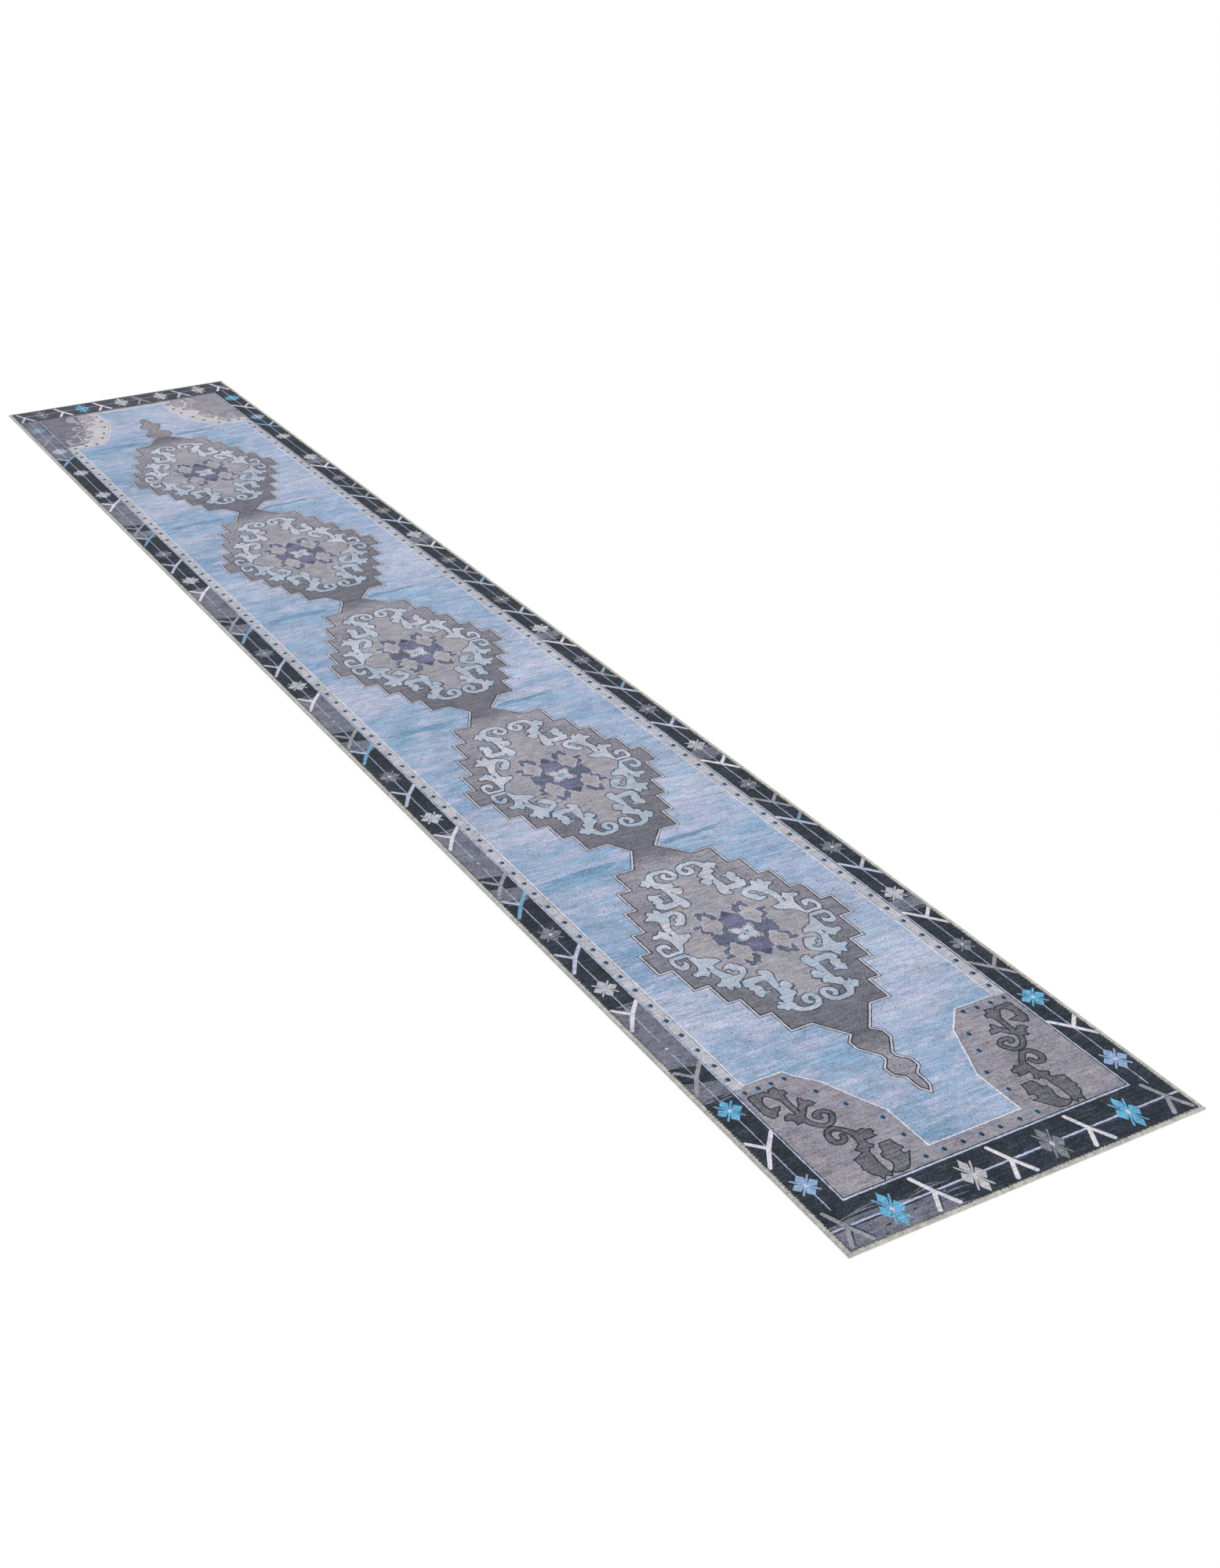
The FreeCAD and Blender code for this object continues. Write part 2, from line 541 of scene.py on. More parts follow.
def borders():
    paint(full_width(-face_half_y, face_half_y), "border")
    for k in MEDALLIONS:
        border_repeat(k)
    corner_wear()
    worn_band(-face_half_x, BORDER_IN_L, *WORN_FAR_LEFT)
    paint(full_width(FAR_BORDER, face_half_y), "border_far")
    for x, start in ((RIGHT_X, LINE_START_R), (LEFT_X, LINE_START_L)):
        paint(rectangle(x - LINE_HALF_WIDTH, start, x + LINE_HALF_WIDTH, LINE_END), "border_line")
    paint(full_width(*NEAR_SHADE), "line_shade")
    paint(full_width(*NEAR_STRIPE), "end_line")
    paint(full_width(*FAR_STRIPE), "border_line")


def corner_wear():
    """The worn near left corner: pale streaks over the dark border, and a few dark bits left in it."""
    paint([(-face_half_x, -2368), (-330, -2364), (-250, -2366), (-190, -2378), (-150, -2384), (-165, -2400),
           (-140, -2418), (-160, -face_half_y), (-face_half_x, -face_half_y)], "border_worn")
    for x0, x1, y, colour in ((-350, -262, -2358, "border_worn"), (-325, -240, -2352, "vine"),
                              (-215, -130, -2367, "border_worn"), (-200, -150, -2360, "vine"),
                              (-240, -120, -2405, "border_worn"), (-190, -115, -2428, "border_worn"),
                              (-175, -110, -2392, "border_worn")):
        paint(stroke([(x0, y - 3), ((x0 + x1) / 2, y + 1), (x1, y - 2)], [1.2, 4, 1]), colour)
    for x, y, half in ((-285, -2408, 9), (-330, -2401, 6), (-225, -2399, 7), (-300, -2425, 5)):
        paint([(x - half, y), (x, y + 2.4), (x + half, y + 1), (x + 1, y - 2.4)], "border")


SIDE_STAR = (25.5, 29)
END_STAR = (24.5, 47)
FORK_R = RIGHT_X + 1
FORK_L = LEFT_X + 1


def star_pair(right_y, left_y, colour, centre="white"):
    """The same star on both long borders."""
    star(RIGHT_X, right_y, *SIDE_STAR, colour, centre)
    star(LEFT_X, left_y, *SIDE_STAR, colour, centre)


def fork_pair(right_y, left_y, colour, arm_colour=None):
    """The same fork on both long borders, one the mirror image of the other."""
    fork(FORK_R, right_y, 1, colour, arm_colour)
    fork(FORK_L, left_y, -1, colour, arm_colour)


def border_motifs():
    for k in MEDALLIONS:
        repeat_motifs(k)
    near_corner_motifs()
    far_corner_motifs()
    end_motifs()


def repeat_motifs(k):
    def at(v):
        return along_rug(k * REPEAT + v)

    star_pair(at(-25), at(-28), "star_beige", "sky")
    fork_pair(at(-134), at(-130), "fork_white")
    star(RIGHT_X, at(-251), 23, 27, "star_grey")
    star(LEFT_X, at(-257), 20, 24, "border_worn")
    fork_pair(at(-348), at(-360), "fork_grey")
    if k > MEDALLIONS[0]:
        fork(FORK_R, at(-447), 1, "fork_lilac", "fork_cyan")
        fork(FORK_L, at(-451), -1, "fork_cyan", "fork_lilac")
        star_pair(at(-580), at(-582), "star_grey")
        fork_pair(at(-684), at(-683), "fork_lilac")


def near_corner_motifs():
    star(RIGHT_X, -2023, 27, 32, "star_cyan")
    star(LEFT_X, -2029, 26, 32, "star_cyan")
    fork_pair(-2136, -2149, "fork_white")
    star(RIGHT_X, -2250, 27, 33, "star_lilac")
    star(LEFT_X, -2260, 26, 29, "star_lilac")


def far_corner_motifs():
    star_pair(1757, 1745, "star_beige")
    fork_pair(1886, 1880, "fork_cyan", "fork_lilac")
    star(RIGHT_X, 1990, 26, 32, "star_lilac")
    star(LEFT_X, 1980, 25, 32, "fork_lilac")
    fork(FORK_R, 2116, 1, "fork_white")
    fork(FORK_L, 2108, -1, "fork_grey")
    star(RIGHT_X, 2230, 27, 34, "star_cyan")
    star(LEFT_X, 2220, 26, 34, "star_haze")


def end_motifs():
    for x, colour in ((-257, "star_cyan"), (-88, "star_beige"), (80, "star_grey"), (252, "star_cyan")):
        star(x, -2380, *END_STAR, colour)
    for x, colour in ((-347, "fork_grey"), (-171, "fork_white"), (-8, "fork_white"), (163, "fork_white"),
                      (341, "fork_grey")):
        end_fork(x, -2378, colour)
    for x, colour in ((-287, "star_grey"), (-148, "star_cyan"), (-10, "star_beige"), (130, "star_beige"),
                      (268, "star_beige")):
        star(x, 2380, *END_STAR, colour)
    for x, colour in ((-347, "fork_lilac"), (-216, "fork_white"), (-80, "fork_white"), (57, "fork_grey"),
                      (200, "fork_lilac"), (344, "fork_white")):
        end_fork(x, 2376, colour)


# ---------------------------------------------------------------- field, brackets, guard stripes

NEAR_LINE = -2321.0
FAR_LINE = 2316.0
# The sides of the inner part of the print, which holds the brackets, guard stripes and field
INNER_L, INNER_R = -310, 303.5
FIELD = [
    (277, -1978), (187, -1978), (142, -2030), (92, -2163), (95, -2277), (-102.6, -2277), (-105, -2163),
    (-137, -2092), (-158, -2039), (-189.5, -2002), (-202.6, -1978), (-285.8, -1978),
    (-287, 1974), (-196, 1976), (-180, 1996), (-150, 2070), (-120, 2150), (-114, 2178), (-119, 2296),
    (101, 2290), (103, 2182), (112, 2142), (150, 2038), (172, 1994), (200, 1980), (281, 1980),
]
GUARD_R = (280.0, 303.5)
GUARD_L = (-311.0, -289.0)
GUARD_ENDS = (-1985.0, 1990.0)
DOTS_L, DOTS_R = -300, 292.5
NEAR_DOTS = [
    (-296, -1999.5), (-268, -1999.5), (-240.5, -1999.5), (-212, -1999.5), (-184, -2058), (-159.5, -2114),
    (-126, -2177), (-124, -2234), (195, -1995), (226, -1997), (258, -1997), (290, -1997), (159, -2057),
    (142, -2107), (112, -2166), (114, -2224),
] + [(x, -2300) for x in (-127, -88, -48, -8, 33, 76, 116)]
FAR_DOTS = [
    (-290, 1985), (-253, 1990), (-216, 1992), (-183, 2040), (-163, 2088), (-142, 2148), (-133, 2212),
    (-133, 2265), (207, 2000), (244, 2004), (276, 2000), (172, 2048), (150, 2100), (130, 2160), (122, 2214),
    (120, 2270),
]
# Fourteen guard dots to a repeat, each this far from the first.
DOT_STEPS = (0, 53, 109, 161, 218, 276, 332, 389, 440, 497, 558, 625, 683, 730)
FIRST_DOT = -1903.0
LAST_DOT = 1960.0

VINE_HOOK = [
    (243, -2043), (257, -2023), (267, -2024), (274, -2032), (277, -2042), (274, -2057), (256, -2059),
    (262, -2066), (268, -2068), (272, -2076), (281, -2078), (289, -2063), (289, -2018), (285, -2013),
    (256, -2014), (249, -2022), (245, -2014), (233, -2012), (231, -2024), (223, -2025), (222, -2033),
    (230, -2035), (232, -2045),
]
VINE_STEM = ([(237.5, -2044), (237, -2080), (237, -2110), (230, -2125), (218, -2136), (202, -2136),
              (190, -2122), (188, -2112), (197, -2103), (208, -2103), (214, -2109), (210, -2115)],
             [9, 8, 8, 8, 8, 8, 8, 8, 8, 10, 12, 8])
VINE_LEAF_L = [
    (213, -2055), (217, -2060), (220, -2069), (228, -2076), (230, -2086), (236, -2092), (232, -2099),
    (222, -2088), (214, -2079), (209, -2078), (203, -2080), (196, -2078), (200, -2068), (208, -2067),
    (210, -2058),
]
VINE_LEAF_R = [
    (240, -2092), (249, -2086), (252, -2083), (262, -2085), (266, -2093), (258, -2096), (252, -2104),
    (254, -2111), (245, -2110), (238, -2108),
]
VINE_CURL = ([(204, -2151), (220, -2151), (228, -2163), (230, -2175), (225, -2186), (214, -2188),
              (207, -2182), (206, -2173)],
             [8, 8, 9, 10, 10, 9, 8, 7])
VINE_LOW_STEM = ([(206, -2152), (196, -2163), (187, -2178), (187, -2200), (190, -2218), (196, -2230)],
                 [8, 9, 11, 12, 13, 10])
VINE_LOW_LEAF = [
    (168, -2176), (177, -2180), (186, -2178), (184, -2199), (171, -2203), (157, -2202), (161, -2195),
    (154, -2191), (155, -2184), (163, -2182),
]
VINE_FORK_R = [(192, -2210), (200, -2213), (209, -2219), (201, -2231), (192, -2232), (188, -2222)]
VINE_FORK_L = [(183, -2212), (176, -2222), (180, -2227), (190, -2218)]
VINE_BLADE_R = [
    (194, -2232), (202, -2231), (210, -2236), (217, -2238), (226, -2241), (225, -2262), (228, -2272),
    (222, -2277), (224, -2284), (220, -2293), (214, -2300), (212, -2311), (206, -2304), (202, -2304),
    (197, -2311), (193, -2304), (196, -2296), (196, -2264), (194, -2250),
]
VINE_BLADE_L = [
    (143, -2226), (164, -2226), (168, -2235), (171, -2250), (178, -2252), (179, -2262), (176, -2270),
    (174, -2280), (176, -2290), (184, -2300), (190, -2303), (183, -2308), (175, -2311), (162, -2309),
    (155, -2303), (148, -2293), (141, -2281), (134, -2272), (145, -2272), (146, -2258), (136, -2254),
    (141, -2243),
]


def corner_vine(place, fill, line):
    outlines = (VINE_HOOK, VINE_LEAF_L, VINE_LEAF_R, VINE_LOW_LEAF, VINE_FORK_R, VINE_FORK_L,
                VINE_BLADE_R, VINE_BLADE_L)
    group = [place(points) for points in outlines]
    for points, widths in (VINE_STEM, VINE_CURL, VINE_LOW_STEM):
        group.append(stroke(place(points), widths))
    outlined(group, fill, line, 2.9)


def near_right(points):
    return list(points)


def near_left(points):
    out = []
    for x, y in points:
        t = (y + 2160) / 150
        out.append((-10 - x, y - 9 * max(0.0, 1 - t * t)))
    return out


def far_right(points):
    return [(x - 6, -y + 4) for x, y in points]


def far_left(points):
    return [(-10 - x, -y + 4) for x, y in points]


def dot(x, y):
    """A round dot with a paler smear beside it."""
    for out, half_w, half_h, colour in ((-3.2, 5.2, 6.6, "dot_halo"), (0.6, 4.4, 6.2, "dot")):
        turns = [i * math.pi / 4 for i in range(8)]
        paint([(x + out + half_w * math.cos(a), y + half_h * math.sin(a)) for a in turns], colour)


def middle():
    """Everything inside the borders, up to the field's own ground."""
    near, far = NEAR_LINE, FAR_LINE
    paint(rectangle(INNER_L - 5, near - 2.5, INNER_R + 5, far + 2), "inner_line")
    paint(rectangle(INNER_L - 2, near + 2, INNER_R + 2, far - 2), "border")
    paint(rectangle(INNER_L, near + 4.5, INNER_R, far - 4), "bracket")
    paint([(INNER_L, far - 4), (INNER_L, 1985), (0, 1985), (0, far - 4)], "far_bracket")
    corner_vine(near_right, "vine", "vine_ink")
    corner_vine(near_left, "vine", "vine_ink")
    paint([(INNER_L, 1960), (INNER_L, 2004), (-252, 2006), (-240, 2060), (-222, 2100), (-205, 2160),
           (-192, 2200), (-196, 2250), (-188, far - 4), (0, far - 4), (0, 1960)], "far_band")
    paint([(INNER_R, 1960), (INNER_R, 2012), (268, 2018), (240, 2045), (228, 2075), (192, 2130),
           (196, 2170), (176, 2232), (186, 2255), (176, far - 4), (0, far - 4), (0, 1960)], "far_band")
    corner_vine(far_right, "far_vine", "far_bracket")
    corner_vine(far_left, "far_vine", "far_bracket")
    paint(rectangle(-306, far - 6, 303, far + 8), "border_worn")
    paint(rectangle(-130, far - 16, 118, far - 7), "far_band")
    for low, high in (GUARD_L, GUARD_R):
        paint(rectangle(low, GUARD_ENDS[0], high, GUARD_ENDS[1]), "guard")
    paint(grown(FIELD, 4.6), "slate")
    paint(grown(FIELD, 3.4), "field_edge")
    paint(FIELD, "field")
    for x, y in NEAR_DOTS + FAR_DOTS:
        dot(x, y)


def guard_dots():
    """The dots along both guard stripes."""
    for k in range(-1, 5):
        for step in DOT_STEPS:
            y = FIRST_DOT + k * REPEAT + step
            if abs(y) < LAST_DOT:
                for x in (DOTS_L, DOTS_R):
                    dot(x + rng.uniform(-1, 1), y + rng.uniform(-2, 2))


# Each point's place across the rug, and how far it lies above the neck
NECK_STREAK_R = [
    (AXIS + 36, 3), (AXIS + 70, 11), (118, 7), (172, 12), (205, 9), (160, 3), (186, -4), (130, -2),
    (112, -10), (70, -6), (AXIS + 40, -12),
]
NECK_STREAK_L = [
    (-90, -20), (-150, -14), (-220, -17), (-278, -24), (-240, -30), (-278, -40), (-190, -36),
    (-140, -46), (-110, -34),
]
FLECKS = 620


def neck_streaks():
    """Deep blue strokes across the field beside each neck."""
    for k in MEDALLIONS:
        y = along_rug(k * REPEAT + NECK[1])
        for streak in (NECK_STREAK_R, NECK_STREAK_L):
            paint([(x, y + rise) for x, rise in streak], "field_deep")


def field_specks():
    """Little dark flecks scattered over the field."""
    for _ in range(FLECKS):
        x = rng.uniform(-278, 270)
        y = rng.uniform(-1970, 1970)
        size = rng.uniform(1.6, 3.6)
        lean = rng.uniform(-0.5, 0.5)
        paint([(x - size * 0.6, y - size), (x + size * 0.5, y - size * 0.4 + lean),
               (x + size * 0.7, y + size), (x - size * 0.4, y + size * 0.6)], "field_fleck")


def draw():
    borders()
    border_motifs()
    middle()
    guard_dots()
    neck_streaks()
    field_specks()
    chain()
    far_pendant()
    for k in MEDALLIONS:
        medallion(k)


# ---------------------------------------------------------------- face cloth

# Extra points inside each cloth, and how far each is moved at random
FACE_GRID = 30.0
BACKING_GRID = 60
GRID_SHAKE = 4
RIM_STEP = 25
# The margin that the yarn squeezes: the width of the bend, and how far it moves from above and from below
PRESS_WIDTH = 1.6
MARGIN_DROP = 0.4
MARGIN_RISE = 0.9
# Hairline gaps under the backing and above it
FLOOR_GAP = 0.05
LAYER_GAP = 0.02


def inside(points, order, heights, outline):
    """Which points lie inside a closed outline, by winding number.

    order and heights sort the points by y.
    """
    wind = np.zeros(len(points), dtype=int)
    for (x0, y0), (x1, y1) in zip(outline, np.roll(outline, -1, axis=0)):
        first, last = np.searchsorted(heights, (min(y0, y1), max(y0, y1)))
        if first == last:
            continue
        some = order[first:last]
        cross = (x1 - x0) * (heights[first:last] - y0) - (points[some, 0] - x0) * (y1 - y0)
        if y1 > y0:
            wind[some[cross > 0]] += 1
        else:
            wind[some[cross < 0]] -= 1
    return wind != 0


def ragged(points, shake=0.0, longest=6.0, wobble=0.5):
    """An outline cut into short lengths and shaken slightly, as the edges of a worn print are."""
    out = []
    if shake:
        points = [(x + rng.uniform(-shake, shake), y + rng.uniform(-shake, shake)) for x, y in points]
    for a, b in zip(points, np.roll(points, -1, axis=0)):
        out.append((a[0], a[1]))
        parts = int(math.hypot(b[0] - a[0], b[1] - a[1]) / longest)
        for k in range(1, parts):
            t = k / parts
            out.append((a[0] + (b[0] - a[0]) * t + rng.uniform(-wobble, wobble),
                        a[1] + (b[1] - a[1]) * t + rng.uniform(-wobble, wobble)))
    return np.array(out)


def onto_cloth(points):
    """Keeps an outline within the cloth."""
    limit = np.array([face_half_x, face_half_y])
    return np.clip(np.array(points, dtype=float), -limit, limit)


def triangulated(outlines, loose=()):
    """Points and triangles whose edges follow every outline, with the loose points as extra corners."""
    corners, edges = [], []
    for outline in outlines:
        start, count = len(corners), len(outline)
        corners += [Vector((float(x), float(y))) for x, y in outline]
        edges += [(start + i, start + (i + 1) % count) for i in range(count)]
    corners += [Vector((float(x), float(y))) for x, y in loose]
    points, _, faces, _, _, _ = delaunay_2d_cdt(corners, edges, [], 0, 1e-3, False)
    points = np.array([(p.x, p.y) for p in points])
    faces = np.array([f for f in faces if len(f) == 3])
    a, b, c = points[faces[:, 0]], points[faces[:, 1]], points[faces[:, 2]]
    area = (b[:, 0] - a[:, 0]) * (c[:, 1] - a[:, 1]) - (c[:, 0] - a[:, 0]) * (b[:, 1] - a[:, 1])
    clockwise = area < 0
    faces[clockwise] = faces[clockwise][:, ::-1]
    return points, faces


def in_scene(name, data):
    """A new object in the scene."""
    thing = bpy.data.objects.new(name, data)
    bpy.context.collection.objects.link(thing)
    return thing


def rim_loop(faces):
    """The open edge of a triangle sheet, as point numbers in order."""
    directed = {(int(a), int(b)) for f in faces for a, b in ((f[0], f[1]), (f[1], f[2]), (f[2], f[0]))}
    following = {a: b for a, b in directed if (b, a) not in directed}
    start = min(following)
    loop = [start]
    while following[loop[-1]] != start:
        loop.append(following[loop[-1]])
    return loop


def squeezed(points):
    """How much the edge yarn squeezes each point: 0 in the open cloth, 1 in the margin."""
    inset = np.minimum(face_half_x - np.abs(points[:, 0]), face_half_y - np.abs(points[:, 1]))
    covered = face_half_x - band_edge_x
    return np.clip((covered - inset) / PRESS_WIDTH + 0.5, 0, 1)


def pressed(points, level):
    """The height of a cloth layer, pressed down a little under the edge yarn."""
    return level - MARGIN_DROP * squeezed(points)


def raised(points):
    """The height of the underside, which rises at the margin to make room for the yarn below it."""
    return FLOOR_GAP + MARGIN_RISE * squeezed(points)


def level_underside(points):
    """The heights of a flat underside, where the face meets the bonding film."""
    return np.full(len(points), face_bottom)


def closed_sheet(name, points, faces, top, bottom, folds, colours, slots):
    """A sheet with a top made of triangles, a wall round it and an underside.

    top is a height for each point, bottom gives the underside's heights, and folds are the outlines
    along which the underside bends.
    """
    loop = rim_loop(faces)
    rim, under = triangulated([points[loop], *folds])
    count = len(points)
    walls = []
    for i in range(len(loop)):
        j = (i + 1) % len(loop)
        walls.append((count + i, count + j, loop[j], loop[i]))
    verts = np.vstack([np.column_stack([points, top]), np.column_stack([rim, bottom(rim)])]) * MM
    below = [tuple(int(i) + count for i in f[::-1]) for f in under]
    mesh = bpy.data.meshes.new(name)
    above = [tuple(int(i) for i in f) for f in faces]
    mesh.from_pydata([tuple(v) for v in verts], [], above + below + walls)
    for colour in colours:
        mesh.materials.append(colour)
    all_slots = np.concatenate([slots, np.zeros(len(below) + len(walls), dtype=int)])
    mesh.polygons.foreach_set("material_index", all_slots.astype(np.int32))
    mesh.update()
    return in_scene(name, mesh)


def press_rings():
    """Two rings of points where the cloth dips under the edge yarn."""
    rings = []
    for side in (-0.5, 0.5):
        inset = face_half_x - band_edge_x + side * PRESS_WIDTH
        x, y = face_half_x - inset, face_half_y - inset
        rings.append(np.array(rectangle(-x, -y, x, y)))
    return rings


def grid_points(step):
    """Loose points all over a cloth, so that no triangle in it is long."""
    return [(x + rng.uniform(-GRID_SHAKE, GRID_SHAKE), y + rng.uniform(-GRID_SHAKE, GRID_SHAKE))
            for x in np.arange(-face_half_x + 15, face_half_x - 10, step)
            for y in np.arange(-face_half_y + 15, face_half_y - 10, step)]


def cloth_rim():
    """The cut edge of both cloths, in short lengths."""
    return ragged(full_width(-face_half_y, face_half_y), 0, RIM_STEP, 0)


def face_cloth():
    outlines = [onto_cloth(ragged(points, shake)) for points, _, shake in shapes]
    points, faces = triangulated([cloth_rim(), *outlines, *press_rings()], grid_points(FACE_GRID))
    middles = points[faces].mean(axis=1)
    order = np.argsort(middles[:, 1])
    heights = middles[order, 1]
    names = list(PAINT)
    slots = np.zeros(len(faces), dtype=int)
    for outline, (_, colour, _) in zip(outlines, shapes):
        slots[inside(middles, order, heights, outline)] = names.index(colour)
    colours = [printed(name, PAINT[name]) for name in names]
    top = pressed(points, face_top)
    return closed_sheet("printed_face", points, faces, top, level_underside, [], colours, slots)


def backing():
    points, faces = triangulated([cloth_rim(), *press_rings()], grid_points(BACKING_GRID))
    top = np.full(len(points), backing_top - LAYER_GAP)
    slots = np.zeros(len(faces), dtype=int)
    colours = [backing_material()]
    return closed_sheet("woven_backing", points, faces, top, raised, press_rings(), colours, slots)


# ---------------------------------------------------------------- materials

RIB_PITCH = 3.6
WAVE_PERIOD = math.pi / 10
# How far wear lightens and darkens a print, and how far painted shade darkens the grooves between its ribs,
# in screen levels
WEAR_AND_RIB_SHADE_LEVELS = 42.0
TINTS = {
    "pale": ((200, 196, 204), (176, 190, 208)),
    "pale_low": ((180, 182, 194), (160, 178, 198)),
    "ground_inner": ((162, 157, 163), (150, 151, 163)),
    "beige": ((170, 165, 169), (156, 155, 166)),
    "guard": ((187, 183, 190), (174, 177, 189)),
    "bracket": ((153, 149, 156), (132, 132, 146)),
    "border": ((47, 51, 60), (34, 45, 57)),
    "border_worn": ((121, 121, 135), (98, 103, 118)),
    "purple": ((118, 116, 143), (100, 105, 131)),
    "fork_white": ((214, 210, 214), (194, 195, 212)),
    "field_edge": ((220, 213, 222), (204, 208, 224)),
}


def linear(rgb):
    """A screen colour from 0 to 255, as the linear colour that a shader takes."""
    return [(c / 12.92 if c <= 0.04045 else ((c + 0.055) / 1.055) ** 2.4) for c in (v / 255 for v in rgb)]


class Nodes:
    """Short calls for building one material's nodes."""

    def __init__(self, name, roughness=0.9, sheen=0.0):
        self.material = bpy.data.materials.new(name)
        self.material.use_nodes = True
        self.tree = self.material.node_tree
        self.shader = self.tree.nodes["Principled BSDF"]
        self.shader.inputs["Roughness"].default_value = roughness
        self.shader.inputs["Specular IOR Level"].default_value = 0.25
        self.shader.inputs["Sheen Weight"].default_value = sheen
        self.shader.inputs["Sheen Roughness"].default_value = 0.6
        self.place = self.tree.nodes.new("ShaderNodeTexCoord").outputs["Object"]

    def node(self, kind, inputs=(), **settings):
        n = self.tree.nodes.new(kind)
        for key, value in settings.items():
            setattr(n, key, value)
        for key, value in dict(inputs).items():
            if isinstance(value, bpy.types.NodeSocket):
                self.tree.links.new(value, n.inputs[key])
            else:
                n.inputs[key].default_value = value
        return n

    def stretched(self, x=1.0, y=1.0, z=1.0):
        return self.node("ShaderNodeMapping", {"Vector": self.place, "Scale": (x, y, z)}).outputs[0]

    def noise(self, vector, scale, detail=2.0, rough=0.5):
        inputs = {"Vector": vector, "Scale": scale, "Detail": detail, "Roughness": rough}
        return self.node("ShaderNodeTexNoise", inputs).outputs["Fac"]

    def wave(self, vector, pitch, axis, distortion=0.0, detail_scale=1.0):
        inputs = {"Vector": vector, "Scale": WAVE_PERIOD / (pitch * MM), "Distortion": distortion,
                  "Detail": 1.0, "Detail Scale": detail_scale}
        return self.node("ShaderNodeTexWave", inputs, bands_direction=axis).outputs["Fac"]

    def math(self, kind, *values):
        inputs = {i: v for i, v in enumerate(values)}
        return self.node("ShaderNodeMath", inputs, operation=kind).outputs[0]

    def range(self, value, low, high, to_low=0.0, to_high=1.0):
        inputs = {"Value": value, "From Min": low, "From Max": high, "To Min": to_low, "To Max": to_high}
        return self.node("ShaderNodeMapRange", inputs).outputs[0]

    def mix(self, share, a, b):
        """Colour a turning into colour b."""
        n = self.node("ShaderNodeMix", data_type="RGBA")
        for socket, value in ((n.inputs[0], share), (n.inputs[6], a), (n.inputs[7], b)):
            if isinstance(value, bpy.types.NodeSocket):
                self.tree.links.new(value, socket)
            elif socket.name == "Factor":
                socket.default_value = value
            else:
                socket.default_value = (*value[:3], 1)
        return n.outputs[2]

    def tint(self, colour, where, low, high, rgb, most=1.0):
        """A colour turning into a screen colour, up to a share, as where goes from low to high."""
        return self.mix(self.range(where, low, high, 0, most), colour, linear(rgb))

    def ramp(self, value, stops):
        n = self.node("ShaderNodeValToRGB", {"Fac": value})
        stops = sorted(stops)
        while len(n.color_ramp.elements) < len(stops):
            n.color_ramp.elements.new(0.5)
        for element, (at, rgb) in zip(n.color_ramp.elements, stops):
            element.position = at
            element.color = (*linear(rgb), 1)
        return n.outputs["Color"]

    def finish(self, colour, height=None, strength=0.5, depth=0.3):
        self.tree.links.new(colour, self.shader.inputs["Base Color"])
        if height is not None:
            inputs = {"Height": height, "Strength": strength, "Distance": depth * MM}
            bump = self.node("ShaderNodeBump", inputs)
            self.tree.links.new(bump.outputs[0], self.shader.inputs["Normal"])
        return self.material


def printed(name, rgb):
    """Ribbed printed cloth, mottled and streaked across the width as the colour has worn, with painted shade
    in the grooves between the ribs.
    """
    n = Nodes("print_" + name, roughness=0.92, sheen=0.05)
    base = linear(rgb)
    if name == "field":
        base = field_colour(n)
    elif name == "ground":
        base = ground_colour(n)
    elif name in TINTS:
        base = tinted(n, rgb, TINTS[name])
    rib = n.wave(n.place, RIB_PITCH, "X", 0.7, 40.0)
    grain = n.noise(n.stretched(1, 0.55, 1), 380, 2.0, 0.6)
    fleck = n.noise(n.stretched(1, 0.8, 1), 640, 1.0, 0.5)
    streak = n.noise(n.stretched(0.10, 1, 1), 210, 3.0, 0.6)
    mottle = n.noise(n.stretched(0.6, 1, 1), 52, 3.0, 0.6)
    patch = n.noise(n.place, 9, 2.0)
    depth = WEAR_AND_RIB_SHADE_LEVELS / (sum(rgb) / 3)
    parts = [(fleck, 4.5), (grain, 6.0), (streak, 4.2), (mottle, 2.4), (patch, 1.6)]
    # Painted shade: the rib wave, which also raises the ribs in the bump, darkens the colour in the grooves
    # between them
    gain = n.range(rib, 0.0, 0.5, -0.6, 0.1)
    for noise, weight in parts:
        gain = n.math("MULTIPLY_ADD", n.math("SUBTRACT", noise, 0.5), weight, gain)
    gain = n.math("MAXIMUM", n.math("MULTIPLY_ADD", gain, depth, 1.0), 0.35)
    colour = n.node("ShaderNodeVectorMath", {0: base, "Scale": gain}, operation="SCALE").outputs[0]
    height = n.math("MULTIPLY_ADD", grain, 0.9, rib)
    return n.finish(colour, height, 0.55, 0.5)


def tinted(n, rgb, tints):
    """A paint whose hue wanders between two neighbours."""
    where = n.noise(n.stretched(0.7, 1, 1), 34, 3.0, 0.6)
    colour = n.tint(linear(rgb), where, 0.50, 0.64, tints[0])
    return n.tint(colour, where, 0.48, 0.36, tints[1])


def repeat_position(n, wander, spread):
    """Where a point lies between the middle of one neck, 0, and the next, 1, give or take a spread."""
    y = n.node("ShaderNodeSeparateXYZ", {"Vector": n.place}).outputs["Y"]
    phase = MIDDLE - REPEAT / 2
    at = n.math("FRACT", n.math("DIVIDE", n.math("SUBTRACT", y, phase * MM), REPEAT * MM))
    at = n.math("ADD", at, n.range(wander, 0, 1, -spread, spread))
    return n.math("FRACT", n.math("ADD", at, 1.0))


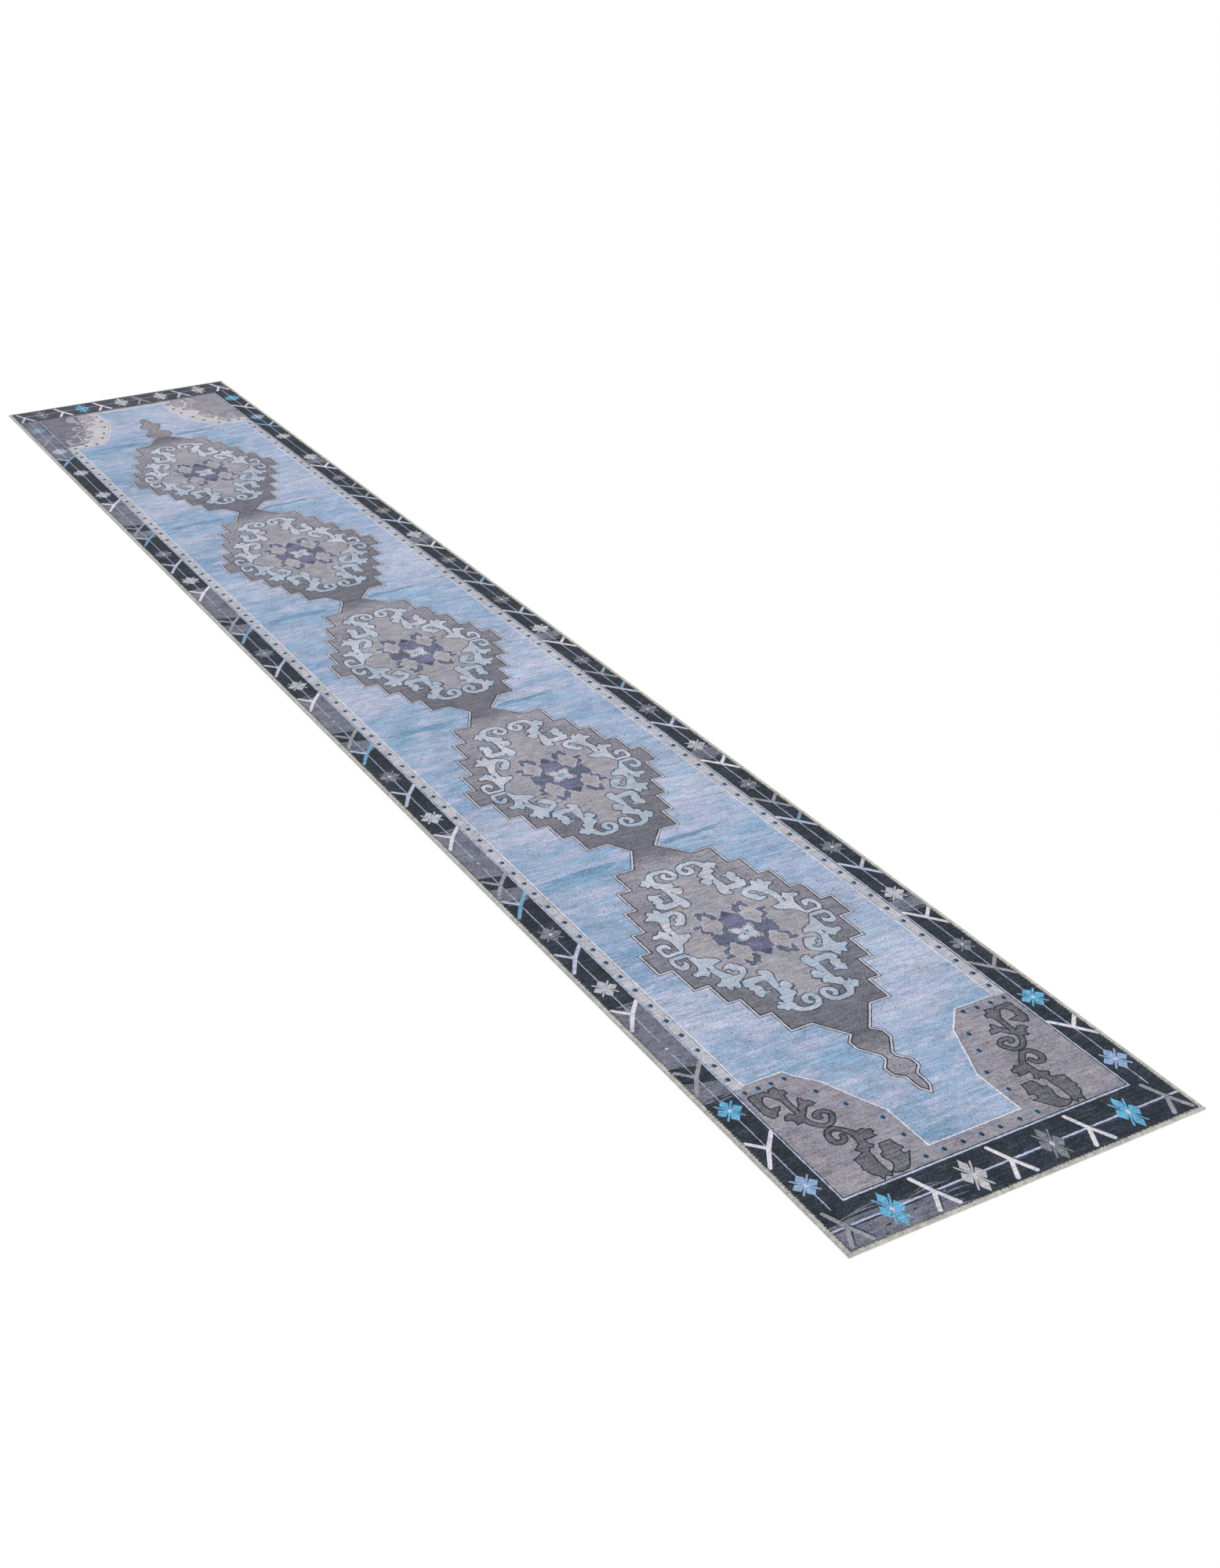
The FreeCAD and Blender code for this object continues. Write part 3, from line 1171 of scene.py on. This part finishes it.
def field_colour(n):
    """The field's broken blues and lavenders, which repeat with the medallions and differ left and right."""
    x = n.node("ShaderNodeSeparateXYZ", {"Vector": n.place}).outputs["X"]
    wander = n.noise(n.stretched(0.8, 1.6, 1), 9, 3.0, 0.6)
    at = repeat_position(n, wander, 0.035)
    side = n.range(n.math("ADD", x, n.range(wander, 0, 1, -0.03, 0.03)), -0.03, 0.03)
    base = n.mix(side, n.ramp(at, FIELD_LEFT), n.ramp(at, FIELD_RIGHT))
    cloud = n.noise(n.stretched(0.4, 1, 1), 24, 3.0, 0.6)
    base = n.tint(base, cloud, 0.50, 0.66, (190, 186, 214), 0.6)
    base = n.tint(base, cloud, 0.44, 0.30, (122, 158, 194), 0.5)
    lines = n.noise(n.stretched(0.15, 1, 1), 90, 2.0, 0.6)
    base = n.tint(base, lines, 0.54, 0.70, (200, 194, 214), 0.45)
    return n.tint(base, lines, 0.46, 0.32, (116, 152, 188), 0.45)


def ground_colour(n):
    """The medallion's ground, lighter in its upper part and darkest towards its lower end."""
    wander = n.noise(n.place, 12, 3.0, 0.6)
    return n.ramp(repeat_position(n, wander, 0.04), GROUND_RAMP)


def backing_material():
    """Plain woven natural cloth, with slubby yarns both ways and painted shade in the gaps between the
    yarns.
    """
    n = Nodes("backing_weave", roughness=0.95)
    warp = n.wave(n.place, 2.4, "X", 0.8, 30.0)
    weft = n.wave(n.place, 2.6, "Y", 0.8, 30.0)
    slub = n.noise(n.stretched(0.08, 1, 1), 300, 2.0)
    shade = n.noise(n.place, 14, 4.0, 0.6)
    cell = n.math("MULTIPLY", warp, weft)
    colour = n.tint(linear((150, 136, 110)), slub, 0.35, 0.7, (182, 168, 140))
    colour = n.tint(colour, shade, 0.4, 0.7, (168, 152, 124), 0.5)
    # Painted shade: where the weave's height is low, between the crossing yarns, the colour darkens
    colour = n.tint(colour, cell, 0.3, 0.0, (104, 92, 70), 0.5)
    return n.finish(colour, cell, 0.8, 0.5)


def bond_material():
    n = Nodes("dried_latex", roughness=0.6)
    ripple = n.noise(n.place, 320, 3.0)
    blot = n.noise(n.place, 40, 3.0)
    colour = n.tint(linear((196, 184, 156)), blot, 0.4, 0.65, (212, 204, 180))
    return n.finish(colour, ripple, 0.4, 0.3)


def yarn_material():
    """Soft spun yarn of pale grey and warm white fibres, with darker fibres here and there."""
    n = Nodes("spun_yarn", roughness=0.95, sheen=0.25)
    strand = n.noise(n.place, 110, 2.0)
    fibre = n.noise(n.place, 1500, 3.0, 0.7)
    shade = n.noise(n.place, 9, 3.0)
    colour = n.tint(linear((164, 163, 156)), strand, 0.35, 0.65, (204, 202, 194))
    colour = n.tint(colour, fibre, 0.5, 0.72, (222, 221, 215), 0.6)
    colour = n.tint(colour, fibre, 0.46, 0.30, (112, 112, 110), 0.6)
    colour = n.tint(colour, shade, 0.5, 0.7, (156, 156, 160), 0.35)
    return n.finish(colour, fibre, 0.8, 0.35)


def thread_material():
    n = Nodes("needle_thread", roughness=0.8, sheen=0.1)
    twist = n.noise(n.place, 900, 2.0)
    shade = n.noise(n.place, 60, 2.0)
    colour = n.tint(linear((58, 61, 70)), twist, 0.35, 0.65, (88, 90, 97))
    colour = n.tint(colour, shade, 0.5, 0.7, (100, 100, 104), 0.5)
    return n.finish(colour, twist, 0.5, 0.15)


# ---------------------------------------------------------------- yarn edge

YARN_PITCH = 3.7
YARN_THICK = 0.9
WALL_THICK = 1.15
SECTION_SIDES = 5
# How far the turns reach in over the face: an even tooth, a random part, and the least at a corner
TOOTH_PITCH = 8.6
TOOTH_DEPTH = 0.9
REACH_SPREAD = 0.9
CORNER_REACH = 4.8
# The bend round the outer edge: its radius, and the angles of the points on it, in degrees
BEND = 1.6
BEND_ANGLES = (10, 50, 90)
# The needle thread: the mean width and height of its section, how much each swells with the twist,
# how far it zigzags, and how far its middle lies below the rug's top
THREAD_WIDE, THREAD_WIDE_SWELL = 0.8, 0.12
THREAD_HIGH, THREAD_HIGH_SWELL = 0.42, 0.06
THREAD_SWING = 0.28
THREAD_DEPTH = 0.28


class Side:
    """One side of the rug: a frame that runs along it, with inward and outward directions."""

    def __init__(self, name, along, outward, half_run, half_out, reach):
        self.name = name
        self.along = np.array(along, dtype=float)
        self.outward = np.array(outward, dtype=float)
        self.half_run = half_run
        self.half_out = half_out
        self.reach = reach

    def at(self, s, inset, z):
        """The point s along the side, that far in from the outer edge, at a height."""
        p = self.along * s + self.outward * (self.half_out - inset)
        return np.array([p[0], p[1], z])


SIDES = [
    Side("left", (0, 1), (-1, 0), rug_half_y, rug_half_x, 7.8),
    Side("right", (0, 1), (1, 0), rug_half_y, rug_half_x, 10.0),
    Side("near", (1, 0), (0, -1), rug_half_x, rug_half_y, 8.2),
    Side("far", (1, 0), (0, 1), rug_half_x, rug_half_y, 9.4),
]


def tube(path, widths, heights, across):
    """Rings of an oval tube along a path. across is the direction of its width."""
    path = np.array(path)
    along = np.gradient(path, axis=0)
    along /= np.linalg.norm(along, axis=1)[:, None]
    up = np.cross(along, across)
    up /= np.linalg.norm(up, axis=1)[:, None]
    wide = np.cross(up, along)
    turns = np.arange(SECTION_SIDES) * 2 * math.pi / SECTION_SIDES
    rings = [p + np.outer(np.cos(turns) * w / 2, a) + np.outer(np.sin(turns) * h / 2, b)
             for p, a, b, w, h in zip(path, wide, up, widths, heights)]
    verts = np.vstack(rings)
    faces = []
    for r in range(len(path) - 1):
        for k in range(SECTION_SIDES):
            a, b = r * SECTION_SIDES + k, r * SECTION_SIDES + (k + 1) % SECTION_SIDES
            faces.append((a, b, b + SECTION_SIDES, a + SECTION_SIDES))
    last = (len(path) - 1) * SECTION_SIDES
    faces.append(tuple(range(SECTION_SIDES))[::-1])
    faces.append(tuple(last + k for k in range(SECTION_SIDES)))
    return verts, faces


def joined(name, parts, material):
    """One mesh object from several (points in millimetres, faces)."""
    verts, faces, count = [], [], 0
    for points, polygons in parts:
        verts.append(points)
        faces += [tuple(i + count for i in f) for f in polygons]
        count += len(points)
    mesh = bpy.data.meshes.new(name)
    mesh.from_pydata([tuple(v) for v in np.vstack(verts) * MM], [], faces)
    mesh.materials.append(material)
    mesh.shade_smooth()
    mesh.update()
    return in_scene(name, mesh)


def strand(side, s, reach, slant):
    """One turn of yarn: in over the face, round the outer edge, and back under the cloth."""
    t = YARN_THICK / 2
    wall = WALL_THICK / 2
    low, high = t, rug_top - t
    under = reach * rng.uniform(0.86, 0.98)
    lift = rng.uniform(-0.06, 0.0)
    bend = [math.radians(a) for a in BEND_ANGLES]
    # How far in, how high, and what share of the slant, at each point of the turn's path
    line = [(reach, high - 0.5, -1.0), (reach - 0.9, high - 0.14, -0.9),
            (max(reach * 0.55, BEND + 1.5), high + lift, -0.5)]
    for r in bend:
        line.append((wall + BEND * (1 - math.sin(r)), high - BEND * (1 - math.cos(r)), 0.0))
    for r in bend[::-1]:
        line.append((wall + BEND * (1 - math.sin(r)), low + BEND * (1 - math.cos(r)), 0.0))
    line += [(max(under * 0.6, BEND + 1.5), low, 0.5), (under, low + 0.1, 1.0)]
    path = [side.at(s + slant * f, inset, z) for inset, z, f in line]
    full = YARN_PITCH * rng.uniform(1.08, 1.22)
    taper = [0.35, 0.8] + [1.0] * (len(line) - 3) + [0.7]
    thick = [0.55, 0.9] + [1.0] * (len(line) - 3) + [0.7]
    plump = YARN_THICK * rng.uniform(0.95, 1.0)
    across = np.append(side.along, 0.0)
    return tube(path, [full * w for w in taper], [plump * h for h in thick], across)


def yarn_run(side, material):
    """The overcast turns along one side, of uneven reach, closing in to the mitre at each corner."""
    parts = []
    count = int(round(2 * side.half_run / YARN_PITCH))
    pitch = 2 * side.half_run / count
    for i in range(count):
        s = -side.half_run + (i + 0.5) * pitch
        to_corner = side.half_run - abs(s)
        tooth = TOOTH_DEPTH * math.sin(2 * math.pi * s / TOOTH_PITCH)
        reach = side.reach + tooth + rng.uniform(-REACH_SPREAD, REACH_SPREAD)
        reach = max(CORNER_REACH, min(reach, to_corner + 1.5))
        clear = min(1.0, max(0.0, (to_corner - CORNER_REACH) / 3.0))
        s = s + rng.uniform(-0.3, 0.3) * clear
        parts.append(strand(side, s, reach, rng.uniform(0.2, 0.9) * clear))
    return joined("yarn_" + side.name, parts, material)


def thread_run(side, material):
    """The fine needle thread that locks the yarn, a twisted line that zigzags a little with the turns."""
    inset = band_width + 0.05
    end = side.half_run - band_width
    step = YARN_PITCH / 2
    count = int(2 * end / step)
    path, widths, heights = [], [], []
    for i in range(count + 1):
        s = -end + 2 * end * i / count
        turn = i * math.pi / 2
        zigzag = inset + THREAD_SWING * math.sin(turn) + rng.uniform(-0.05, 0.05)
        path.append(side.at(s, zigzag, rug_top - THREAD_DEPTH))
        widths.append(THREAD_WIDE + THREAD_WIDE_SWELL * math.cos(turn))
        heights.append(THREAD_HIGH + THREAD_HIGH_SWELL * math.cos(turn))
    across = np.append(side.outward, 0.0)
    return joined("thread_" + side.name, [tube(path, widths, heights, across)], material)


# ---------------------------------------------------------------- stage

CAMERA_PLACE = (-1.93735, -4.40715, 2.20061)
CAMERA_RIGHT = (0.86730, -0.49777, -0.00419)
CAMERA_UP = (0.24022, 0.41115, 0.87934)
CAMERA_LENS = 46.83
SENSOR = 36.0
# The floor's half size and its drop below the rug, in metres, and its paper
FLOOR_HALF = 60.0
FLOOR_DROP = 0.0002
FLOOR_WHITE = (0.98, 0.98, 0.98, 1)
# A white room, and one broad soft lamp: its strength, and its spread and tilts in degrees
ROOM_LIGHT = 0.62
LAMP_LIGHT = 1.55
LAMP_SPREAD = 50
LAMP_TILT = (28, 6)


def camera():
    data = bpy.data.cameras.new("camera")
    data.lens = CAMERA_LENS
    data.sensor_width = SENSOR
    data.clip_end = 200
    holder = in_scene("camera", data)
    right, up = Vector(CAMERA_RIGHT).normalized(), Vector(CAMERA_UP).normalized()
    back = right.cross(up).normalized()
    turn = Matrix((right, up, back)).transposed().to_4x4()
    holder.matrix_world = Matrix.Translation(CAMERA_PLACE) @ turn
    bpy.context.scene.camera = holder


def floor():
    mesh = bpy.data.meshes.new("studio_floor")
    corners = rectangle(-FLOOR_HALF, -FLOOR_HALF, FLOOR_HALF, FLOOR_HALF)
    mesh.from_pydata([(x, y, 0) for x, y in corners], [], [(0, 1, 2, 3)])
    paper = Nodes("studio_floor", roughness=0.9)
    paper.shader.inputs["Base Color"].default_value = FLOOR_WHITE
    mesh.materials.append(paper.material)
    plate = in_scene("studio_floor", mesh)
    plate.location.z = -FLOOR_DROP


def lights():
    world = bpy.data.worlds.new("studio")
    world.use_nodes = True
    background = world.node_tree.nodes["Background"]
    background.inputs["Color"].default_value = (1, 1, 1, 1)
    background.inputs["Strength"].default_value = ROOM_LIGHT
    bpy.context.scene.world = world
    data = bpy.data.lights.new("softbox", "SUN")
    data.energy = LAMP_LIGHT
    data.angle = math.radians(LAMP_SPREAD)
    lamp = in_scene("softbox", data)
    lamp.rotation_euler = (math.radians(LAMP_TILT[0]), math.radians(LAMP_TILT[1]), 0)
    bpy.context.scene.view_settings.view_transform = "Standard"


# ---------------------------------------------------------------- assembly

def place_cloths():
    face = face_cloth()
    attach(face, "root")
    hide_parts("face_cloth")
    under = backing()
    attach(under, "root")
    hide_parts("backing_cloth")
    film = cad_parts["bond_coat"]
    film.data.materials.clear()
    film.data.materials.append(bond_material())


def place_edges():
    yarn, thread = yarn_material(), thread_material()
    for side in SIDES:
        run = yarn_run(side, yarn)
        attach(run, "root")
        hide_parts("edge_yarn_" + side.name)
        lock = thread_run(side, thread)
        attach(lock, "root")
        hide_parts("needle_thread_" + side.name)


draw()
place_cloths()
place_edges()
floor()
camera()
lights()
